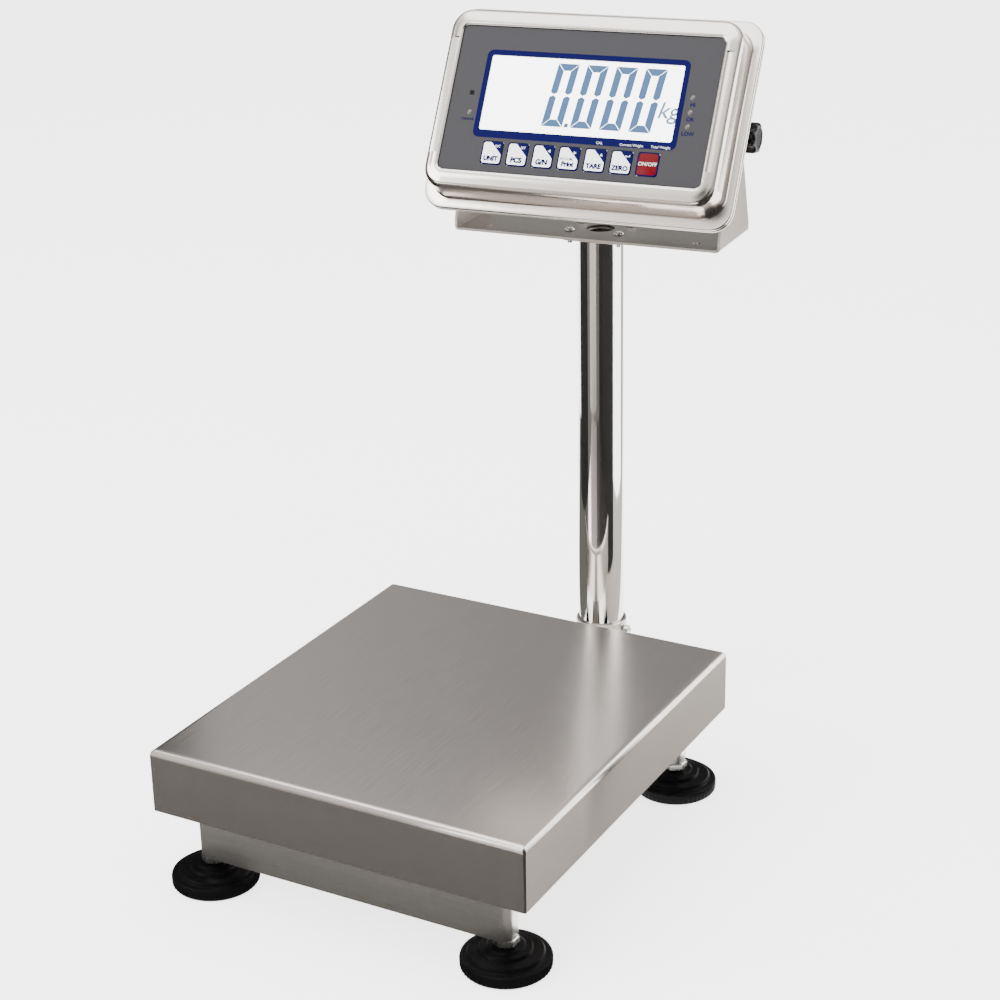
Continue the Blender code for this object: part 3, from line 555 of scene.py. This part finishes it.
# ---------- keys ----------
names = {"unit": "UNIT", "pcs": "PCS", "gross_net": "G/N", "print": "Print", "tare": "TARE",
         "zero": "ZERO", "power": "ON/OFF"}
marks = {"gross_net": [(-1.6, 0), (1.4, 1.6), (1.4, -1.6)],
         "print": [(1.6, 0), (-1.4, -1.6), (-1.4, 1.6)], "tare": [(0, 1.6), (-1.6, -1.2), (1.6, -1.2)]}
for name, (x, z) in zip(KEYS, key_spots):
    red = name == "power"
    body = "button_" + name
    look, slot = (RED, "key_red") if red else (WHITE_PAINTED_GLOW, "key_white")
    rows = [face(rounded(11, 11, 1, 6), level(-6.2)), face(rounded(11, 11, 1, 6), level(-0.9))]
    rows += [face(rounded(KEY_W - d, KEY_H - d, 2.6 - d / 2, 6), level(n)) for d, n in (
        (0, -0.9), (0, 0.1), (0.15, 0.25), (0.5, 0.35))]
    piece(f"key_{name}_look", loft(rows), NAVY, HEAD, body, ["key_" + name], (x, 0, z))
    rows = [face(rounded(KEY_W - 1.9 - d, KEY_H - 1.9 - d, 1.9 - d / 2, 6), level(n)) for d, n in (
        (0, 0.36), (0, 0.42), (0.15, 0.46))]
    piece(f"key_{name}_face", loft(rows), look, HEAD, body, (), (x, 0, z))
    if red:
        word(f"key_{name}_word", names[name], PRINT, HEAD, body, x, z, 4.2, 0.50, 0.0, 0.004)
        continue
    right, top = KEY_W / 2 - 0.85, KEY_H / 2 - 0.85
    corner = [(-1.6, top), (right, -1.2), (right, top - 1.4), (right - 0.45, top - 0.45),
              (right - 1.4, top)]
    piece(f"key_{name}_corner", slab(corner, 0.40, 0.50), NAVY, HEAD, body, (), (x, 0, z))
    word(f"key_{name}_word", names[name], NAVY, HEAD, body, x - 0.2, z - 4.8,
         5.1 if len(names[name]) > 3 else 5.6, 0.50, bold=0.06)
    if name in marks:
        piece(f"key_{name}_mark", slab([(u * 0.8, v * 0.8) for u, v in marks[name]], 0.47, 0.55), PRINT,
              HEAD, body, (), (x + 4.6, 0, z + 4.6))
    elif name in ("unit", "pcs"):
        word(f"key_{name}_mark", "ESC" if name == "unit" else "SET", PRINT, HEAD, body, x + 4.1,
             z + 5.5, 2.7, 0.50, bold=0.01)
    else:
        arrow = [(-2.2, 0), (-0.8, 0.9), (-0.8, 0.25), (1.4, 0.25), (1.4, 1.2), (2.0, 1.2),
                 (2.0, -0.25), (-0.8, -0.25), (-0.8, -0.9)]
        piece(f"key_{name}_mark", slab(arrow, 0.47, 0.55), PRINT, HEAD, body, (),
              (x + 4.4, 0, z + 4.9))
    if name == "print":
        word(f"key_{name}_word_2", "ACCUM.", NAVY, HEAD, body, x - 1.6, z - 0.6, 2.9, 0.50)

# ---------- knobs, gland and charger socket ----------
def along(rows, sign, lobed=False, count=96):
    """Rings along X from rows of place and radius; a lobed one has eight soft lobes where it is wide."""
    loops = []
    for x, r in rows:
        wave = [r + (math.cos(8 * a) * min(1.0, max(0.0, (r - 8.5) / 2)) if lobed else 0.0)
                for a in [2 * math.pi * i / count for i in range(count)]]
        loops.append(side([(wave[i] * math.cos(2 * math.pi * i / count),
                            wave[i] * math.sin(2 * math.pi * i / count))
                           for i in range(count)], sign * x))
    return loops


for label, sign in (("left", -1), ("right", 1)):
    body = "knob_l" if sign < 0 else "knob_r"
    piece(f"knob_{label}_look", loft(along([
        (99.0, 2.6), (99.4, 3.0), (113.2, 3.0), (113.2, 7.2), (113.6, 7.5), (117.6, 7.5), (118.6, 9.0),
        (119.4, 10.8), (120.4, 11.4), (128.0, 11.4), (129.4, 11.0), (130.4, 10.0), (130.9, 8.4),
        (130.9, 7.4), (130.2, 6.6), (130.2, 2.0)], sign, True)),
          BLACK, HEAD, body, [f"knob_{label}"])
    piece(f"washer_{label}_look", loft(along([
        (108.4, 3.3), (110.3, 3.3), (110.3, 9.6), (110.0, 10.0), (108.7, 10.0), (108.4, 9.6)],
        sign), True), RUBBER, HEAD, "indicator", [f"knob_washer_{label}"])
piece("gland_look", loft([face(o, level(n)) for o, n in (
    (circle(6.4, 36), -66.0), (circle(6.4, 36), -74.1), (circle(8.4, 36), -74.1), (hexagon(18.0), -74.6),
    (hexagon(18.0), -78.0), (circle(8.2, 36), -78.6), (circle(8.0, 36), -84.6), (circle(7.4, 36), -86.6),
    (circle(6.0, 36), -88.0), (circle(3.4, 36), -88.0), (circle(3.2, 36), -66.0))], True),
      BLACK, HEAD, "indicator", ["cable_gland"], (GLAND_SPOT[0], 0, GLAND_SPOT[1]))
piece("charger_look", loft([face(circle(r, 40), level(n)) for r, n in (
    (5.2, -64.0), (5.2, -74.1), (7.0, -74.1), (7.4, -74.5), (7.4, -75.3), (7.0, -75.6), (3.2, -75.6),
    (3.0, -75.2), (3.0, -67.0))]), BLACK, HEAD, "indicator", ["charger_socket"],
      (CHARGER_SPOT[0], 0, CHARGER_SPOT[1]))

# ---------- floor, light and camera ----------
def card(name, w, d, where, look, camera=False):
    mesh = bpy.data.meshes.new(name)
    mesh.from_pydata([(-w / 2, -d / 2, 0), (w / 2, -d / 2, 0), (w / 2, d / 2, 0), (-w / 2, d / 2, 0)],
                     [], [(0, 1, 2, 3)])
    thing = bpy.data.objects.new(name, mesh)
    bpy.context.scene.collection.objects.link(thing)
    thing.matrix_world = where
    mesh.materials.append(look)
    if not camera:  # seen in reflections alone
        thing.visible_camera = False
        thing.visible_diffuse = False
        thing.visible_shadow = False
        thing.visible_transmission = False
    return thing


floor_look = finish("floor", (0.90, 0.90, 0.90, 1), 0.9, 0.0, (3, 3, 3), 0.004, 0.02)
grey_look = finish("studio_grey", (0.065, 0.062, 0.056, 1), 0.9, 0.0, (3, 3, 3), 0.01, 0.02)
pale_look = finish("studio_pale", (0.46, 0.44, 0.41, 1), 0.9, 0.0, (3, 3, 3), 0.01, 0.02)
mid_look = finish("studio_mid", (0.50, 0.48, 0.45, 1), 0.9, 0.0, (3, 3, 3), 0.01, 0.02)
dark_look = finish("studio_dark", (0.005, 0.005, 0.005, 1), 0.9, 0.0, (3, 3, 3), 0.01, 0.02)
bright_look = finish("studio_bright", (0.9, 0.9, 0.9, 1), 0.9, 0.0, (3, 3, 3), 0.01, 0.02)
lit(bright_look, 2.6)
lit(floor_look, 2.8)
card("floor", 90.0, 90.0, Matrix.Identity(4), floor_look, True)
card("grey_card_low", 2.2, 1.5, Matrix.Translation((-0.40, -0.93, 0.002)), grey_look)
card("pale_card_right", 3.4, 5.2, Matrix.Translation((1.86, 2.3, 0.002)), pale_look)
card("grey_card_left", 0.58, 0.63, Matrix.Translation((-0.46, 0.135, 0.002)), grey_look)


def backdrop(radius, high, look):
    """A pale wall all round, for views from the side; reflections and light go through it."""
    count = 96
    ring = [(radius * math.cos(2 * math.pi * i / count), radius * math.sin(2 * math.pi * i / count))
            for i in range(count)]
    mesh = bpy.data.meshes.new("backdrop")
    mesh.from_pydata([(x, y, z) for z in (0.0, high) for x, y in ring], [],
                     [(i, (i + 1) % count, count + (i + 1) % count, count + i) for i in range(count)])
    thing = bpy.data.objects.new("backdrop", mesh)
    bpy.context.scene.collection.objects.link(thing)
    mesh.materials.append(look)
    thing.visible_glossy = False
    thing.visible_diffuse = False
    thing.visible_shadow = False
    thing.visible_transmission = False


backdrop(40.0, 60.0, floor_look)


def upright(name, bearing, reach, width, low, high, look):
    """A card standing round the column, seen only in reflections."""
    a = math.radians(bearing)
    at = Matrix.Translation((reach * math.cos(a), (COLUMN_Y + SHIFT_Y) * MM + reach * math.sin(a),
                             (low + high) / 2))
    card(name, width, high - low, at @ Matrix.Rotation(a + math.pi / 2, 4, "Z")
         @ Matrix.Rotation(math.pi / 2, 4, "X"), look)


upright("dark_card_right", -38, 0.46, 0.62, 0.0, 0.52, dark_look)
upright("dark_card_near", -28, 0.30, 0.30, 0.0, 0.32, dark_look)
upright("dark_card_left", -158, 0.46, 0.46, 0.0, 0.50, dark_look)
upright("mid_card_left", -102, 0.50, 0.28, 0.10, 0.52, mid_look)
upright("bright_card", 26, 0.50, 0.50, 0.0, 0.70, bright_look)

world = bpy.data.worlds.new("studio")
bpy.context.scene.world = world
world.use_nodes = True
tree = world.node_tree
back = tree.nodes["Background"]
place = tree.nodes.new("ShaderNodeTexCoord")
split = tree.nodes.new("ShaderNodeSeparateXYZ")
turn = tree.nodes.new("ShaderNodeMath")
turn.operation = "ARCTAN2"
turn_range = tree.nodes.new("ShaderNodeMapRange")
turn_range.inputs["From Min"].default_value = -math.pi
turn_range.inputs["From Max"].default_value = math.pi
ramp = tree.nodes.new("ShaderNodeValToRGB")
tree.links.new(place.outputs["Generated"], split.inputs["Vector"])
tree.links.new(split.outputs["Y"], turn.inputs[0])
tree.links.new(split.outputs["X"], turn.inputs[1])
tree.links.new(turn.outputs["Value"], turn_range.inputs["Value"])
tree.links.new(turn_range.outputs["Result"], ramp.inputs["Fac"])
# brightness round the room, by bearing in degrees from +X towards +Y
bearings = ((-180, 0.5), (-150, 0.7), (-132, 2.3), (-106, 2.3), (-96, 0.5), (-84, 0.12), (-60, 0.10),
            (-48, 0.5), (-30, 0.8), (0, 0.5), (30, 0.9), (60, 0.9), (85, 0.28), (105, 0.36),
            (119, 0.46), (130, 0.68), (150, 0.62), (180, 0.5))
ramp.color_ramp.elements[0].position = 0.0
ramp.color_ramp.elements[1].position = 1.0
for degrees, value in bearings:
    spot = (degrees + 180) / 360
    if spot in (0.0, 1.0):
        element = ramp.color_ramp.elements[0 if spot == 0.0 else len(ramp.color_ramp.elements) - 1]
    else:
        element = ramp.color_ramp.elements.new(spot)
    element.color = (value, value * 0.99, value * 0.975, 1)
overhead = tree.nodes.new("ShaderNodeMapRange")
overhead.inputs["From Min"].default_value = 0.58
overhead.inputs["From Max"].default_value = 0.80
tree.links.new(split.outputs["Z"], overhead.inputs["Value"])
sky = tree.nodes.new("ShaderNodeMix")
sky.data_type = "RGBA"
sky.inputs[7].default_value = (2.5, 2.49, 2.46, 1)
tree.links.new(overhead.outputs["Result"], sky.inputs[0])
tree.links.new(ramp.outputs["Color"], sky.inputs[6])
# a dark band at eye level, which small radii pick up as thin dark lines
height = tree.nodes.new("ShaderNodeMapRange")
height.inputs["From Min"].default_value = -1.0
tree.links.new(split.outputs["Z"], height.inputs["Value"])
band = tree.nodes.new("ShaderNodeValToRGB")
tree.links.new(height.outputs["Result"], band.inputs["Fac"])
band.color_ramp.elements[0].position = 0.44
band.color_ramp.elements[1].position = 0.62
for spot, value in ((0.49, 0.12), (0.57, 0.12)):
    band.color_ramp.elements.new(spot).color = (value, value, value * 0.95, 1)
for element in (band.color_ramp.elements[0], band.color_ramp.elements[-1]):
    element.color = (1, 1, 1, 1)
dim = tree.nodes.new("ShaderNodeMix")
dim.data_type = "RGBA"
dim.blend_type = "MULTIPLY"
dim.inputs[0].default_value = 1.0
tree.links.new(sky.outputs[2], dim.inputs[6])
tree.links.new(band.outputs["Color"], dim.inputs[7])
tree.links.new(dim.outputs[2], back.inputs["Color"])
back.inputs["Strength"].default_value = 0.9


def softbox(name, where, aim, size, power):
    light = bpy.data.lights.new(name, "AREA")
    light.shape = "RECTANGLE"
    light.size, light.size_y = size
    light.energy = power
    thing = bpy.data.objects.new(name, light)
    bpy.context.scene.collection.objects.link(thing)
    thing.location = where
    thing.rotation_euler = (Vector(aim) - Vector(where)).to_track_quat("-Z", "Y").to_euler()
    return thing


softbox("top_light", (-0.3, -0.2, 2.6), (0, 0, 0.2), (2.2, 2.2), 42)
softbox("front_left_light", (-1.7, -1.9, 1.7), (0, 0, 0.35), (1.3, 1.3), 42)

camera_data = bpy.data.cameras.new("camera")
camera = bpy.data.objects.new("camera", camera_data)
bpy.context.scene.collection.objects.link(camera)
# the camera's bearing, height, roll, place and lens were solved from the photograph
AZ, EL, ROLL = math.radians(29.09), math.radians(21.44), math.radians(-1.19)
away = Vector((math.sin(AZ) * math.cos(EL), -math.cos(AZ) * math.cos(EL), math.sin(EL)))
right = (-away).cross(Vector((0, 0, 1))).normalized()
above = right.cross(-away)
right, above = (right * math.cos(ROLL) + above * math.sin(ROLL),
                above * math.cos(ROLL) - right * math.sin(ROLL))
spot = Vector((746.1, -1256.2 + SHIFT_Y, 849.0)) * MM
camera.matrix_world = Matrix((
    (right.x, above.x, away.x, spot.x), (right.y, above.y, away.y, spot.y),
    (right.z, above.z, away.z, spot.z), (0, 0, 0, 1)))
camera_data.sensor_width = 36.0
camera_data.lens = 77.33
camera_data.clip_end = 120
bpy.context.scene.camera = camera
